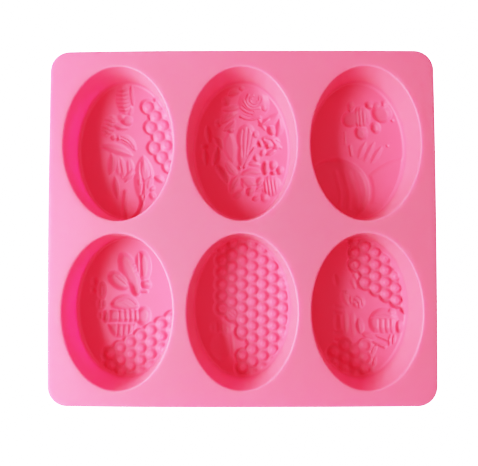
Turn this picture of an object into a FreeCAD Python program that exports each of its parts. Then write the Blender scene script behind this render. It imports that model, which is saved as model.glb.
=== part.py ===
"""Silicone soap mould: a thin deck sheet with six oval cups hanging from it.

The whole article is one soft moulding.  It is divided here along its natural boundaries: the deck sheet,
the tapering wall of each cup, and the floor plate that closes each cup's foot, whose upper face carries a
sunken picture that comes out raised on the finished bar.  The pieces meet face to face.

Frame: origin at the centre of the resting plane, +X across the three columns, +Y towards the rear row,
+Z up.  Lengths are millimetres.
"""

import FreeCAD, Part
import math
import os

from FreeCAD import Vector

# Driving dimensions of the deck sheet
MOULD_WIDTH = 211.0
MOULD_DEPTH = 194.0
MOULD_HEIGHT = 27.0
SIDE_BOW = 0.7
DECK_THICKNESS = 2.5
DECK_CORNER_RADIUS = 10.5
DECK_EDGE_RADIUS = 0.8

# Driving dimensions of the cups
COLUMN_PITCH = 67.5
ROW_PITCH = 91.5
OPENING_HALF_WIDTH = 30.0
OPENING_HALF_LENGTH = 42.3
LIP_RADIUS = 0.9
WALL_DRAFT = 0.08
WALL_THICKNESS = 2.5
FLOOR_THICKNESS = 3.5
BASE_EDGE_RADIUS = 1.8

# Sunken pictures: depth below the cup floor
GROOVE_DEPTH = 1.1
WING_DEPTH = 0.9
BODY_DEPTH = 1.5
FINE_DEPTH = 0.6
COMB_PITCH = 7.0
GROOVE_WIDTH = 1.3
PICTURE_MARGIN = 0.6

# Proportions inside the pictures
RIDGE_SHARE = 0.28
HEAD_SQUASH = 0.9
ROSE_SQUASH = 0.94
ROSE_DRIFT = 0.1
PETAL_WIDTH_SHARE = 0.6

CUTTER_RISE = 1.0
LEAST_SHARE_LEFT = 0.8

DECK_UNDERSIDE = MOULD_HEIGHT - DECK_THICKNESS
CUP_CENTRES = {
    "rear_left": (-COLUMN_PITCH, ROW_PITCH / 2),
    "rear_middle": (0.0, ROW_PITCH / 2),
    "rear_right": (COLUMN_PITCH, ROW_PITCH / 2),
    "front_left": (-COLUMN_PITCH, -ROW_PITCH / 2),
    "front_middle": (0.0, -ROW_PITCH / 2),
    "front_right": (COLUMN_PITCH, -ROW_PITCH / 2),
}


# --- outlines -------------------------------------------------------------------------------------


def oval_face(x, y, half_x, half_y, z=0.0, turn=0.0):
    """A filled ellipse, turned by `turn` degrees about its centre."""
    if half_x >= half_y:
        ellipse = Part.Ellipse(Vector(half_x, 0, 0), Vector(0, half_y, 0), Vector(0, 0, 0))
    else:
        ellipse = Part.Ellipse(Vector(0, half_y, 0), Vector(-half_x, 0, 0), Vector(0, 0, 0))
    face = Part.Face(Part.Wire(ellipse.toShape()))
    face.rotate(Vector(0, 0, 0), Vector(0, 0, 1), turn)
    face.translate(Vector(x, y, z))
    return face


def leaf_face(start, end, width):
    """A pointed leaf: two equal arcs from `start` to `end`."""
    first = Vector(start[0], start[1], 0)
    last = Vector(end[0], end[1], 0)
    along = last - first
    side = Vector(-along.y, along.x, 0)
    side.normalize()
    middle = (first + last) * 0.5
    left_arc = Part.Arc(first, middle + side * (width / 2), last).toShape()
    right_arc = Part.Arc(last, middle - side * (width / 2), first).toShape()
    return Part.Face(Part.Wire([left_arc, right_arc]))


def bar_face(x, y, length, width, turn):
    """A straight bar centred on (x, y), its length along `turn` degrees."""
    face = Part.makePlane(length, width, Vector(-length / 2, -width / 2, 0))
    face.rotate(Vector(0, 0, 0), Vector(0, 0, 1), turn)
    face.translate(Vector(x, y, 0))
    return face


def hexagon_face(x, y, across_flats, turn):
    """A regular hexagon whose first flat faces `turn` degrees."""
    corner_radius = across_flats / math.sqrt(3)
    corners = []
    for index in range(7):
        angle = math.radians(turn + 30 + 60 * index)
        corners.append(Vector(x + corner_radius * math.cos(angle), y + corner_radius * math.sin(angle), 0))
    return Part.Face(Part.makePolygon(corners))


# --- pictures, each a list of solids to sink into a cup floor ---------------------------------------


def sunk(face, depth):
    """The solid that sinks a face `depth` below the cup floor."""
    lowered = face.copy()
    lowered.translate(Vector(0, 0, -depth))
    return lowered.extrude(Vector(0, 0, depth + CUTTER_RISE))


def striped_body(x, y, half_length, half_width, turn, stripes):
    """An oval body in which cross ridges are left standing between sunken bands."""
    body = oval_face(x, y, half_length, half_width, turn=turn)
    direction = Vector(math.cos(math.radians(turn)), math.sin(math.radians(turn)), 0)
    spacing = 2 * half_length / (stripes + 1)
    ridges = []
    for index in range(stripes):
        offset = -half_length + spacing * (index + 1)
        centre = Vector(x, y, 0) + direction * offset
        ridges.append(bar_face(centre.x, centre.y, RIDGE_SHARE * spacing, 2 * half_width, turn))
    deep = sunk(body, FINE_DEPTH)
    bands = sunk(body.cut(Part.makeCompound(ridges)), BODY_DEPTH)
    return [deep, bands]


def bee(body, turn, head, wings, stripes=3):
    """A bee: body (x, y, half length, half width), head (x, y, radius) and a leaf for each wing."""
    body_x, body_y, half_length, half_width = body
    head_x, head_y, head_radius = head
    solids = striped_body(body_x, body_y, half_length, half_width, turn, stripes)
    head_face = oval_face(head_x, head_y, head_radius, HEAD_SQUASH * head_radius, turn=turn)
    solids.append(sunk(head_face, BODY_DEPTH))
    for start, end, width in wings:
        solids.append(sunk(leaf_face(start, end, width), WING_DEPTH))
    return solids


def leaves(blades):
    """Sunken leaves, each (start, end, width)."""
    return [sunk(leaf_face(start, end, width), WING_DEPTH) for start, end, width in blades]


def rose(x, y, radius, rings=3):
    """Nested round petals: narrow rings that close in, a little off centre, on a sunken heart."""
    spacing = radius / rings
    solids = [sunk(oval_face(x, y, spacing / 2, spacing / 2), BODY_DEPTH)]
    for index in range(rings):
        outer = radius - spacing * index
        inner = outer - GROOVE_WIDTH
        centre_y = y - ROSE_DRIFT * spacing * index
        if inner > spacing / 2:
            ring = oval_face(x, centre_y, outer, ROSE_SQUASH * outer)
            ring = ring.cut(oval_face(x, centre_y, inner, ROSE_SQUASH * inner))
            solids.append(sunk(ring, WING_DEPTH))
    return solids


def blossom(x, y, petal_length, petals, turn=0.0):
    """Short leaves set round a point."""
    blades = []
    for index in range(petals):
        angle = math.radians(turn + 360 * index / petals)
        tip = (x + petal_length * math.cos(angle), y + petal_length * math.sin(angle))
        blades.append(((x, y), tip, PETAL_WIDTH_SHARE * petal_length))
    return leaves(blades)


def inside_half_planes(x, y, half_planes):
    """True where (x, y) is on the inner side of every (point x, point y, inward angle)."""
    for edge_x, edge_y, angle in half_planes:
        inward = math.radians(angle)
        if (x - edge_x) * math.cos(inward) + (y - edge_y) * math.sin(inward) < 0:
            return False
    return True


def honeycomb(origin, turn, half_planes, clear_disc=None):
    """Hexagonal pads parted by sunken grooves, on a lattice through `origin`.

    Cells are kept where their centres lie on the floor, inside every half plane and off the clear disc
    (x, y, radius).  `turn` is the direction of one row of cells.
    """
    row = Vector(math.cos(math.radians(turn)), math.sin(math.radians(turn)), 0) * COMB_PITCH
    across = Vector(math.cos(math.radians(turn + 60)), math.sin(math.radians(turn + 60)), 0) * COMB_PITCH
    reach = int(2 * OPENING_HALF_LENGTH / COMB_PITCH)
    surrounds = []
    pads = []
    for i in range(-reach, reach + 1):
        for j in range(-reach, reach + 1):
            centre = Vector(origin[0], origin[1], 0) + row * i + across * j
            half_x = hollow_half_width(FLOOR_THICKNESS)
            half_y = hollow_half_length(FLOOR_THICKNESS)
            if (centre.x / half_x) ** 2 + (centre.y / half_y) ** 2 > 1:
                continue
            if not inside_half_planes(centre.x, centre.y, half_planes):
                continue
            if clear_disc and math.hypot(centre.x - clear_disc[0], centre.y - clear_disc[1]) < clear_disc[2]:
                continue
            surrounds.append(hexagon_face(centre.x, centre.y, COMB_PITCH + GROOVE_WIDTH, turn))
            pads.append(hexagon_face(centre.x, centre.y, COMB_PITCH - GROOVE_WIDTH, turn))
    network = surrounds[0].multiFuse(surrounds[1:]).removeSplitter()
    network = network.cut(Part.makeCompound(pads))
    return [sunk(face, GROOVE_DEPTH) for face in network.Faces]


# --- the six pictures, in millimetres from the middle of each cup floor -----------------------------


def bee_and_tulip():
    comb = honeycomb((15.9, 1.4), 7.4, [(12.2, 26.1, 7.4), (15.6, 1.0, 37.4), (15.0, 29.6, -90.0)])
    visitor = bee((-1.8, 28.5, 8.5, 3.3), -82.0, (0.8, 16.0, 3.0),
                  [((-7.0, 8.7), (4.3, 0.0), 4.6), ((-8.4, 19.4), (-11.6, 11.4), 4.0)], stripes=4)
    tulip = leaves([((9.4, -3.5), (9.6, -27.5), 11.5), ((9.8, -27.0), (7.6, -36.5), 2.2),
                    ((-4.6, -7.6), (-1.2, -35.0), 6.0), ((17.0, -14.0), (10.6, -27.0), 3.4)])
    return comb + visitor + tulip


def rose_and_bud():
    bloom = rose(7.2, 27.0, 8.0)
    bud = leaves([((2.0, 15.2), (0.8, -7.6), 9.4), ((-4.6, 21.4), (-11.6, 11.0), 5.0),
                  ((12.4, 19.0), (21.4, 5.0), 5.6), ((1.2, -9.4), (6.8, -18.6), 4.6)])
    visitor = bee((17.6, -21.0, 6.2, 3.9), -80.0, (18.6, -9.6, 3.4),
                  [((13.0, -13.0), (7.6, -25.6), 4.6)], stripes=3)
    return bloom + bud + visitor


def bee_over_blossom():
    visitor = bee((3.4, 20.0, 5.4, 3.6), 8.0, (6.7, 27.4, 2.4),
                  [((-8.6, 17.4), (0.6, 19.6), 6.4), ((9.0, 20.6), (23.2, 23.4), 8.4),
                   ((2.4, 16.0), (1.2, 7.0), 5.4)], stripes=3)
    trail = leaves([((-6.0, 11.4), (-5.8, 5.0), 1.4), ((-3.2, 2.0), (-3.6, -2.4), 1.4)])
    petal = [sunk(oval_face(-5.6, -20.7, 14.7, 14.7).cut(oval_face(-5.6, -20.7, 13.3, 13.3)), GROOVE_DEPTH)]
    side = leaves([((7.6, -12.6), (24.6, 1.0), 5.2), ((9.2, -18.0), (12.4, -31.0), 5.0)])
    return visitor + trail + petal + side


def two_bees():
    comb = honeycomb((20.4, -10.2), 30.0, [(20.4, -9.8, -60.0), (-5.0, -20.0, 0.0)])
    upper = bee((8.0, 12.4, 4.4, 2.6), -28.0, (11.4, 12.6, 2.8),
                [((-4.6, 29.6), (7.6, 13.0), 6.6), ((8.4, 30.2), (10.2, 15.6), 7.2),
                 ((-11.2, 20.2), (4.0, 10.0), 6.4)], stripes=1)
    lower = bee((-3.4, -8.6, 9.4, 6.2), 0.0, (9.6, -6.0, 4.2),
                [((-8.0, 0.4), (7.0, 0.2), 7.4), ((-17.0, 12.0), (-11.6, -3.4), 6.0)], stripes=4)
    return comb + upper + lower


def comb_and_bee():
    comb = honeycomb((12.5, -0.8), 90.0, [], clear_disc=(-12.5, -16.0, 15.5))
    resting = bee((-11.6, -17.4, 7.6, 4.4), -60.0, (-6.2, -27.4, 3.2),
                  [((-16.4, -7.4), (-4.4, -14.0), 5.6), ((-20.0, -12.4), (-13.4, -28.0), 5.6)], stripes=4)
    return comb + resting


def bee_and_comb():
    upper = honeycomb((11.3, 17.7), -30.0, [(-0.9, 17.4, 60.0), (-8.4, 20.0, 0.0)])
    lower = honeycomb((5.2, -29.6), 30.0, [(5.8, -20.0, 180.0), (0.0, -22.4, -90.0), (-9.0, -30.0, 0.0)])
    visitor = bee((15.0, -11.8, 7.8, 4.4), 0.0, (24.6, -12.0, 2.4),
                  [((7.6, -6.2), (22.4, -5.2), 10.6), ((8.6, -17.4), (16.6, -19.0), 3.0)], stripes=4)
    flower = blossom(2.4, -11.0, 4.6, 4, turn=35.0)
    curl = leaves([((-1.8, 15.4), (-0.4, 5.6), 3.0), ((-1.0, 0.0), (4.0, -3.4), 4.4)])
    return upper + lower + visitor + flower + curl


PICTURES = {
    "rear_left": bee_and_tulip,
    "rear_middle": rose_and_bud,
    "rear_right": bee_over_blossom,
    "front_left": two_bees,
    "front_middle": comb_and_bee,
    "front_right": bee_and_comb,
}


# --- the moulding -----------------------------------------------------------------------------------


def hollow_half_width(z):
    """Half width of the hollow at height z."""
    return OPENING_HALF_WIDTH - WALL_DRAFT * (MOULD_HEIGHT - z)


def hollow_half_length(z):
    """Half length of the hollow at height z."""
    return OPENING_HALF_LENGTH - WALL_DRAFT * (MOULD_HEIGHT - z)


def tapered_oval(x, y, low, high, offset):
    """A solid that follows the hollow's taper between two heights, grown sideways by `offset`."""
    wires = []
    for z in (low, high):
        outline = oval_face(x, y, hollow_half_width(z) + offset, hollow_half_length(z) + offset, z)
        wires.append(outline.OuterWire)
    return Part.makeLoft(wires, True, True)


def edges_at_height(solid, z):
    """The edges of a solid that lie in the plane at height z."""
    return [edge for edge in solid.Edges if abs(edge.BoundBox.ZMin - z) + abs(edge.BoundBox.ZMax - z) < 1e-3]


def deck_outline():
    """The sheet's face: four sides, each bowed out by SIDE_BOW at its middle."""
    half_width = MOULD_WIDTH / 2
    half_depth = MOULD_DEPTH / 2
    corner_x = half_width - SIDE_BOW
    corner_y = half_depth - SIDE_BOW
    corners = [(corner_x, corner_y), (-corner_x, corner_y), (-corner_x, -corner_y), (corner_x, -corner_y)]
    middles = [(0.0, half_depth), (-half_width, 0.0), (0.0, -half_depth), (half_width, 0.0)]
    sides = []
    for index, middle in enumerate(middles):
        start = Vector(*corners[index], DECK_UNDERSIDE)
        end = Vector(*corners[(index + 1) % 4], DECK_UNDERSIDE)
        sides.append(Part.Arc(start, Vector(*middle, DECK_UNDERSIDE), end).toShape())
    return Part.Face(Part.Wire(sides))


def deck_sheet():
    """The flat sheet: rounded corners, a small edge radius, and six openings with a soft lip."""
    sheet = deck_outline().extrude(Vector(0, 0, DECK_THICKNESS))
    upright = [edge for edge in sheet.Edges if edge.BoundBox.ZLength > DECK_THICKNESS / 2]
    sheet = sheet.makeFillet(DECK_CORNER_RADIUS, upright)
    sheet = sheet.makeFillet(DECK_EDGE_RADIUS, edges_at_height(sheet, MOULD_HEIGHT))
    for x, y in CUP_CENTRES.values():
        sheet = sheet.cut(tapered_oval(x, y, DECK_UNDERSIDE, MOULD_HEIGHT, 0.0))
    lips = [edge for edge in edges_at_height(sheet, MOULD_HEIGHT) if edge.isClosed()]
    return sheet.makeFillet(LIP_RADIUS, lips)


def cup_wall(x, y):
    """The tapering wall round a hollow, from its softened bottom edge up to the deck."""
    outside = tapered_oval(x, y, 0.0, DECK_UNDERSIDE, WALL_THICKNESS)
    outside = outside.makeFillet(BASE_EDGE_RADIUS, edges_at_height(outside, 0.0))
    hollow = tapered_oval(x, y, 0.0, DECK_UNDERSIDE, 0.0)
    return outside.cut(hollow)


def floor_plate(x, y, picture):
    """The plate that closes a cup's foot, with a picture sunk into its upper face."""
    plate = tapered_oval(x, y, 0.0, FLOOR_THICKNESS, 0.0)
    window = oval_face(0, 0, hollow_half_width(FLOOR_THICKNESS) - PICTURE_MARGIN,
                       hollow_half_length(FLOOR_THICKNESS) - PICTURE_MARGIN, -FLOOR_THICKNESS)
    window = window.extrude(Vector(0, 0, 2 * FLOOR_THICKNESS))
    cutters = Part.makeCompound(picture()).common(window)
    cutters.translate(Vector(x, y, FLOOR_THICKNESS))
    carved = plate.cut(cutters.Solids)
    if carved.Volume < LEAST_SHARE_LEFT * plate.Volume:
        raise RuntimeError("a picture removed too much of its floor plate")
    return carved


def save(shape, node):
    """Write one node, checked to be a single valid solid."""
    solid = shape.Solids[0]
    if len(shape.Solids) != 1 or not solid.isValid():
        raise RuntimeError(node + " is not one valid solid: " + str(len(shape.Solids)))
    solid.exportStep("parts/" + node + ".step")
    print(node, "volume", round(solid.Volume / 1000, 2), "cm3", "faces", len(solid.Faces))


def main():
    os.makedirs("parts", exist_ok=True)
    save(deck_sheet(), "deck_sheet")
    for place, (x, y) in CUP_CENTRES.items():
        save(cup_wall(x, y), "cavity_cup_" + place)
        save(floor_plate(x, y, PICTURES[place]), "relief_floor_" + place)


main()
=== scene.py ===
"""Looks of the silicone soap mould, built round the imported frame.

One smooth shell stands for the deck sheet and the six cup walls, and six sculpted plates stand for the
picture floors.  Shapes are worked out in millimetres and turned to metres when their meshes are made.
"""
import math

import bmesh
import bpy
import numpy as np
from mathutils import Matrix, Vector

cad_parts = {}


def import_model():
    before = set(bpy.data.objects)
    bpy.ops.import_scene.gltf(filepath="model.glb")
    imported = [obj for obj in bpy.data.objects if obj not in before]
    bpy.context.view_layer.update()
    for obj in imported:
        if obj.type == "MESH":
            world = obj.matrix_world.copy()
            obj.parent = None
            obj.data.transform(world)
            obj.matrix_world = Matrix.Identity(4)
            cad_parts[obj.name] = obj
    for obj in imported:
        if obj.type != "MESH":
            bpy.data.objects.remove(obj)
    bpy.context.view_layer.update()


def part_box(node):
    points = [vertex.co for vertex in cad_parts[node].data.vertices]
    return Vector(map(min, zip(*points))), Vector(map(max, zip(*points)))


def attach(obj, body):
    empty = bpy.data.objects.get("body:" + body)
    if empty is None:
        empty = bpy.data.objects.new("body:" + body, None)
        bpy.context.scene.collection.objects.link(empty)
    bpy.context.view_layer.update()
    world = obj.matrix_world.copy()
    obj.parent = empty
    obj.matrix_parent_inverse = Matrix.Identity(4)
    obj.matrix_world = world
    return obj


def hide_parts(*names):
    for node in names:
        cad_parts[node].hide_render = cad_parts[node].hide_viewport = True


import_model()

MM = 0.001

# Keeps divisions away from zero
TINY = 1e-9

# --- sizes, in millimetres ----------------------------------------------------------------------------


def box_mm(node):
    """Lowest and highest corner of a node of the frame."""
    low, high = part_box(node)
    return np.array(low) / MM, np.array(high) / MM


PLACES = ("rear_left", "rear_middle", "rear_right", "front_left", "front_middle", "front_right")
deck_low, deck_high = box_mm("deck_sheet")
SIDE_BOW = 0.7
CORNER_X = deck_high[0] - SIDE_BOW
CORNER_Y = deck_high[1] - SIDE_BOW
DECK_TOP = deck_high[2]
DECK_UNDERSIDE = deck_low[2]
floor_low, floor_high = box_mm("relief_floor_rear_right")
FLOOR_TOP = floor_high[2]

# Draft, thickness and radii of the moulding
WALL_DRAFT = 0.08
WALL_THICKNESS = 2.5
LIP_RADIUS = 0.9
BASE_EDGE_RADIUS = 1.8
CORNER_RADIUS = 10.5
DECK_EDGE_RADIUS = 0.8
UNDER_EDGE_RADIUS = 0.4
UNDER_FILLET_RADIUS = 1.0
FLOOR_FILLET_RADIUS = 1.5
SEAT_OVERLAP = 0.03
DRAFT_ANGLE = math.atan(WALL_DRAFT)

# Uneven lie of the soft sheet: one crossed wave and one slanting wave of half its height
WAVE_HEIGHT = 0.16
CROSSED_WAVE_X = 23
CROSSED_WAVE_Y = 31
CROSSED_START_X = 0.8
CROSSED_START_Y = 0.4
SLANTING_WAVE_X = 51
SLANTING_WAVE_Y = 37

# Half sizes of the opening, carried up from the floor plate along the draft
OPENING_X = (floor_high[0] - floor_low[0]) / 2 + WALL_DRAFT * (DECK_TOP - FLOOR_TOP)
OPENING_Y = (floor_high[1] - floor_low[1]) / 2 + WALL_DRAFT * (DECK_TOP - FLOOR_TOP)


def cup_centre(place):
    """Middle of a cup, seen from above."""
    low, high = box_mm("cavity_cup_" + place)
    return (low[0] + high[0]) / 2, (low[1] + high[1]) / 2


CENTRES = {place: cup_centre(place) for place in PLACES}
COLUMN_EDGE = CENTRES["rear_right"][0] / 2

# --- meshes -------------------------------------------------------------------------------------------

SHARP_ANGLE = math.radians(50)
# Firmness and the painted floor shade fade out this many millimetres from where floor meets wall
SEAM_REACH = 4.0

# Points closer than this, in metres, are one point
MERGE_DISTANCE = 1e-6


def mesh_object(name, points_mm, faces):
    """A smooth-shaded mesh object from points in millimetres."""
    mesh = bpy.data.meshes.new(name)
    mesh.from_pydata([tuple(p) for p in np.asarray(points_mm) * MM], [], faces)
    mesh.validate()
    mesh.shade_smooth()
    mesh.set_sharp_from_angle(angle=SHARP_ANGLE)
    piece = bpy.data.objects.new(name, mesh)
    bpy.context.scene.collection.objects.link(piece)
    return piece


def merge_points(piece):
    """Join points that lie together, so that neighbouring tiles make one closed skin."""
    work = bmesh.new()
    work.from_mesh(piece.data)
    bmesh.ops.remove_doubles(work, verts=work.verts, dist=MERGE_DISTANCE)
    bmesh.ops.recalc_face_normals(work, faces=work.faces)
    work.to_mesh(piece.data)
    work.free()


def smooth(t):
    """A soft step: 0 up to t = 0, 1 from t = 1."""
    t = np.clip(t, 0.0, 1.0)
    return t * t * (3.0 - 2.0 * t)


def mark_seam(piece, from_seam, least=0.0):
    """Store how firm, or less see-through, each point looks, and how much of the painted floor shade it
    takes.

    It is 1 where floor meets wall and falls to `least` at SEAM_REACH from there.
    """
    firm = least + (1.0 - least) * (1.0 - smooth(np.asarray(from_seam) / SEAM_REACH))
    seam = piece.data.attributes.new("firmness_and_floor_shade", "FLOAT", "POINT")
    seam.data.foreach_set("value", firm.astype(np.float32))


# --- the shell: deck sheet and cup walls as one skin --------------------------------------------------

# Every ring of points round a cup starts at its right front corner and has SIDE_STEPS points to a side
SIDE_STEPS = 56
RING = [math.radians(-45 + 90 * step / SIDE_STEPS) for step in range(4 * SIDE_STEPS)]
RING_X = np.cos(RING)
RING_Y = np.sin(RING)
RING_STRETCH = 1 / np.maximum(abs(RING_X), abs(RING_Y))
RIGHT, REAR, LEFT, FRONT = range(4)

# The sides' bow dies out inwards as this power of the way to the edge
BOW_POWER = 9

# Numbers of steps across the rounded parts, and of rings on the plain ones
LIP_STEPS = 7
FOOT_STEPS = 6
UNDER_FILLET_STEPS = 5
EDGE_STEPS = 6
UNDER_EDGE_STEPS = 4
INSIDE_RINGS = 20
OUTSIDE_RINGS = 10
SHEET_STEPS = 7
UNDERSIDE_STEPS = 4


def deck_wave(x, y):
    """The slight unevenness of a soft sheet."""
    crossed = np.sin(x / CROSSED_WAVE_X + CROSSED_START_X) * np.cos(y / CROSSED_WAVE_Y + CROSSED_START_Y)
    slanting = np.sin(x / SLANTING_WAVE_X - y / SLANTING_WAVE_Y)
    return WAVE_HEIGHT * (crossed + 0.5 * slanting)


def oval_ring(centre, offset, z):
    """The opening's oval grown by `offset` all round, at height z."""
    x = centre[0] + (OPENING_X + offset) * RING_X
    y = centre[1] + (OPENING_Y + offset) * RING_Y
    return np.stack([x, y, np.full_like(x, z)], axis=1)


def tile_ring(place, inset, z):
    """The edge of a cup's share of the sheet, with its outer sides `inset` from the sheet's edge.

    The share is a rectangle.  Where it holds a corner of the sheet that corner is rounded, and the sheet's
    sides bow out.
    """
    centre = CENTRES[place]
    reach_x = CORNER_X - inset
    reach_y = CORNER_Y - inset
    column = round(centre[0] / (2 * COLUMN_EDGE))
    column_sides = [(-reach_x, -COLUMN_EDGE), (-COLUMN_EDGE, COLUMN_EDGE), (COLUMN_EDGE, reach_x)]
    low_x, high_x = column_sides[column + 1]
    low_y, high_y = (0.0, reach_y) if centre[1] > 0 else (-reach_y, 0.0)
    x = (low_x + high_x) / 2 + (high_x - low_x) / 2 * RING_X * RING_STRETCH
    y = (low_y + high_y) / 2 + (high_y - low_y) / 2 * RING_Y * RING_STRETCH
    radius = CORNER_RADIUS - inset
    corner_x = np.sign(x) * (reach_x - radius)
    corner_y = np.sign(y) * (reach_y - radius)
    from_x = x - corner_x
    from_y = y - corner_y
    in_corner = (abs(x) > reach_x - radius) & (abs(y) > reach_y - radius)
    scale = np.where(in_corner, radius / np.maximum(np.hypot(from_x, from_y), TINY), 1.0)
    x = np.where(in_corner, corner_x + from_x * scale, x)
    y = np.where(in_corner, corner_y + from_y * scale, y)
    share_x = np.clip(x / CORNER_X, -1.0, 1.0)
    share_y = np.clip(y / CORNER_Y, -1.0, 1.0)
    bowed_x = x + SIDE_BOW * share_x ** BOW_POWER * (1.0 - share_y ** 2)
    bowed_y = y + SIDE_BOW * share_y ** BOW_POWER * (1.0 - share_x ** 2)
    return np.stack([bowed_x, bowed_y, np.full_like(x, z)], axis=1)


def arc(centre, radius, start, end, steps):
    """(offset, z) points along an arc between two angles in degrees."""
    angles = np.radians(np.linspace(start, end, steps + 1))
    return [(centre[0] + radius * math.cos(a), centre[1] + radius * math.sin(a)) for a in angles]


def inner_offset(z):
    """How far the cup's inner wall stands outside the opening's oval at height z."""
    return -WALL_DRAFT * (DECK_TOP - z)


def outer_offset(z):
    """How far the cup's outer wall stands outside the opening's oval at height z."""
    return WALL_THICKNESS + inner_offset(z)


def cup_profile():
    """(offset, z) of each ring from the lip, down the inside, under the foot and up the outside."""
    slope = math.degrees(DRAFT_ANGLE)
    across = 1 / math.cos(DRAFT_ANGLE)
    lip_z = DECK_TOP - LIP_RADIUS
    foot_z = BASE_EDGE_RADIUS
    under_z = DECK_UNDERSIDE - UNDER_FILLET_RADIUS
    lip = arc((inner_offset(lip_z) + LIP_RADIUS * across, lip_z), LIP_RADIUS, 90, 180 - slope, LIP_STEPS)
    inside = [(inner_offset(z), z) for z in np.linspace(lip[-1][1], 0.0, INSIDE_RINGS)[1:]]
    foot = arc((outer_offset(foot_z) - BASE_EDGE_RADIUS * across, foot_z), BASE_EDGE_RADIUS,
               -90, -slope, FOOT_STEPS)
    under = arc((outer_offset(under_z) + UNDER_FILLET_RADIUS * across, under_z), UNDER_FILLET_RADIUS,
                180 - slope, 90, UNDER_FILLET_STEPS)
    outside_heights = np.linspace(foot[-1][1], under[0][1], OUTSIDE_RINGS)[1:-1]
    outside = [(outer_offset(z), z) for z in outside_heights]
    return lip + inside + foot + outside + under


def between(first, last, steps):
    """Rings evenly spaced from `first` towards `last`, without the two themselves."""
    return [first + (last - first) * step / steps for step in range(1, steps)]


def edge_profile():
    """(inset, z) down the sheet's outer edge."""
    top = arc((DECK_EDGE_RADIUS, DECK_TOP - DECK_EDGE_RADIUS), DECK_EDGE_RADIUS, 90, 180, EDGE_STEPS)
    low = arc((UNDER_EDGE_RADIUS, DECK_UNDERSIDE + UNDER_EDGE_RADIUS), UNDER_EDGE_RADIUS,
              180, 270, UNDER_EDGE_STEPS)
    return top + low


def shell():
    """The whole silicone skin but for the picture floors."""
    points = []
    faces = []
    count = len(RING)
    profile = cup_profile()
    edge = edge_profile()

    def add_rings(rings, columns):
        """Add rings of points, each joined to the next over the given columns."""
        start = sum(len(block) for block in points)
        points.extend(rings)
        for row in range(len(rings) - 1):
            for column in columns:
                after = (column + 1) % count
                near = start + row * count
                far = near + count
                faces.append((near + column, near + after, far + after, far + column))

    for place, centre in CENTRES.items():
        cup = [oval_ring(centre, offset, z) for offset, z in profile]
        top_edge = tile_ring(place, edge[0][0], edge[0][1])
        under_edge = tile_ring(place, edge[-1][0], edge[-1][1])
        sheet_top = [top_edge] + between(top_edge, cup[0], SHEET_STEPS)
        sheet_underside = between(cup[-1], under_edge, UNDERSIDE_STEPS) + [under_edge]
        add_rings(sheet_top + cup + sheet_underside, range(count))
        outer_sides = []
        if centre[0] > COLUMN_EDGE:
            outer_sides.append(RIGHT)
        if centre[0] < -COLUMN_EDGE:
            outer_sides.append(LEFT)
        outer_sides.append(REAR if centre[1] > 0 else FRONT)
        columns = [side * SIDE_STEPS + step for side in outer_sides for step in range(SIDE_STEPS)]
        add_rings([tile_ring(place, inset, z) for inset, z in edge], columns)
    coordinates = np.concatenate(points)
    rise = np.clip(coordinates[:, 2] / DECK_UNDERSIDE, 0, 1)
    coordinates[:, 2] += rise ** 2 * deck_wave(coordinates[:, 0], coordinates[:, 1])
    piece = mesh_object("silicone_shell", coordinates, faces)
    merge_points(piece)
    heights = np.array([point.co.z for point in piece.data.vertices]) / MM
    # Points near the floor's height, at the foot of the walls, take firmness and painted floor shade
    mark_seam(piece, abs(heights - FLOOR_TOP - FLOOR_FILLET_RADIUS))
    return piece


# --- sculpting the floors -----------------------------------------------------------------------------

PI = math.pi

# Further than any two points of a floor
FAR = 99.0

# Rounded edges are EDGE_SPREAD times as wide as the pictures state.  Where they state none, the edge of a
# body or a leaf takes a share of its half width or width.
EDGE_SPREAD = 1.6
BODY_EDGE_SHARE = 0.7
LEAF_EDGE_SHARE = 0.36
RIB_SHARPNESS = 1.5
VEIN_HALF_WIDTH = 0.55
VEIN_START = 0.8
SPLINE_STEPS = 10
RING_POINT_ANGLE = 30

# Honeycomb: the oval that holds its cells, how many rows are tried, and the shape of a cell
COMB_HALF_X = 30.0
COMB_HALF_Y = 43.0
COMB_REACH = 14
DOME_FULLNESS = 2.6
DIMPLE_DEPTH = 0.16
DIMPLE_RADIUS = 1.4
COMB_FADE = 12.0


def rounded(inside, width):
    """A rounded profile: 0 at a shape's edge, 1 from `width` millimetres inside it."""
    return np.sin(0.5 * PI * np.clip(inside / width, 0.0, 1.0))


def spline(points):
    """Points along a smooth curve through the given ones."""
    p = np.array(points, float)
    padded = np.vstack([2 * p[0] - p[1], p, 2 * p[-1] - p[-2]])
    out = []
    for i in range(len(p) - 1):
        a, b, c, d = padded[i:i + 4]
        for t in np.arange(SPLINE_STEPS) / SPLINE_STEPS:
            out.append(0.5 * (2 * b + (c - a) * t + (2 * a - 5 * b + 4 * c - d) * t ** 2
                              + (3 * b - a - 3 * c + d) * t ** 3))
    out.append(p[-1])
    return np.array(out)


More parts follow.
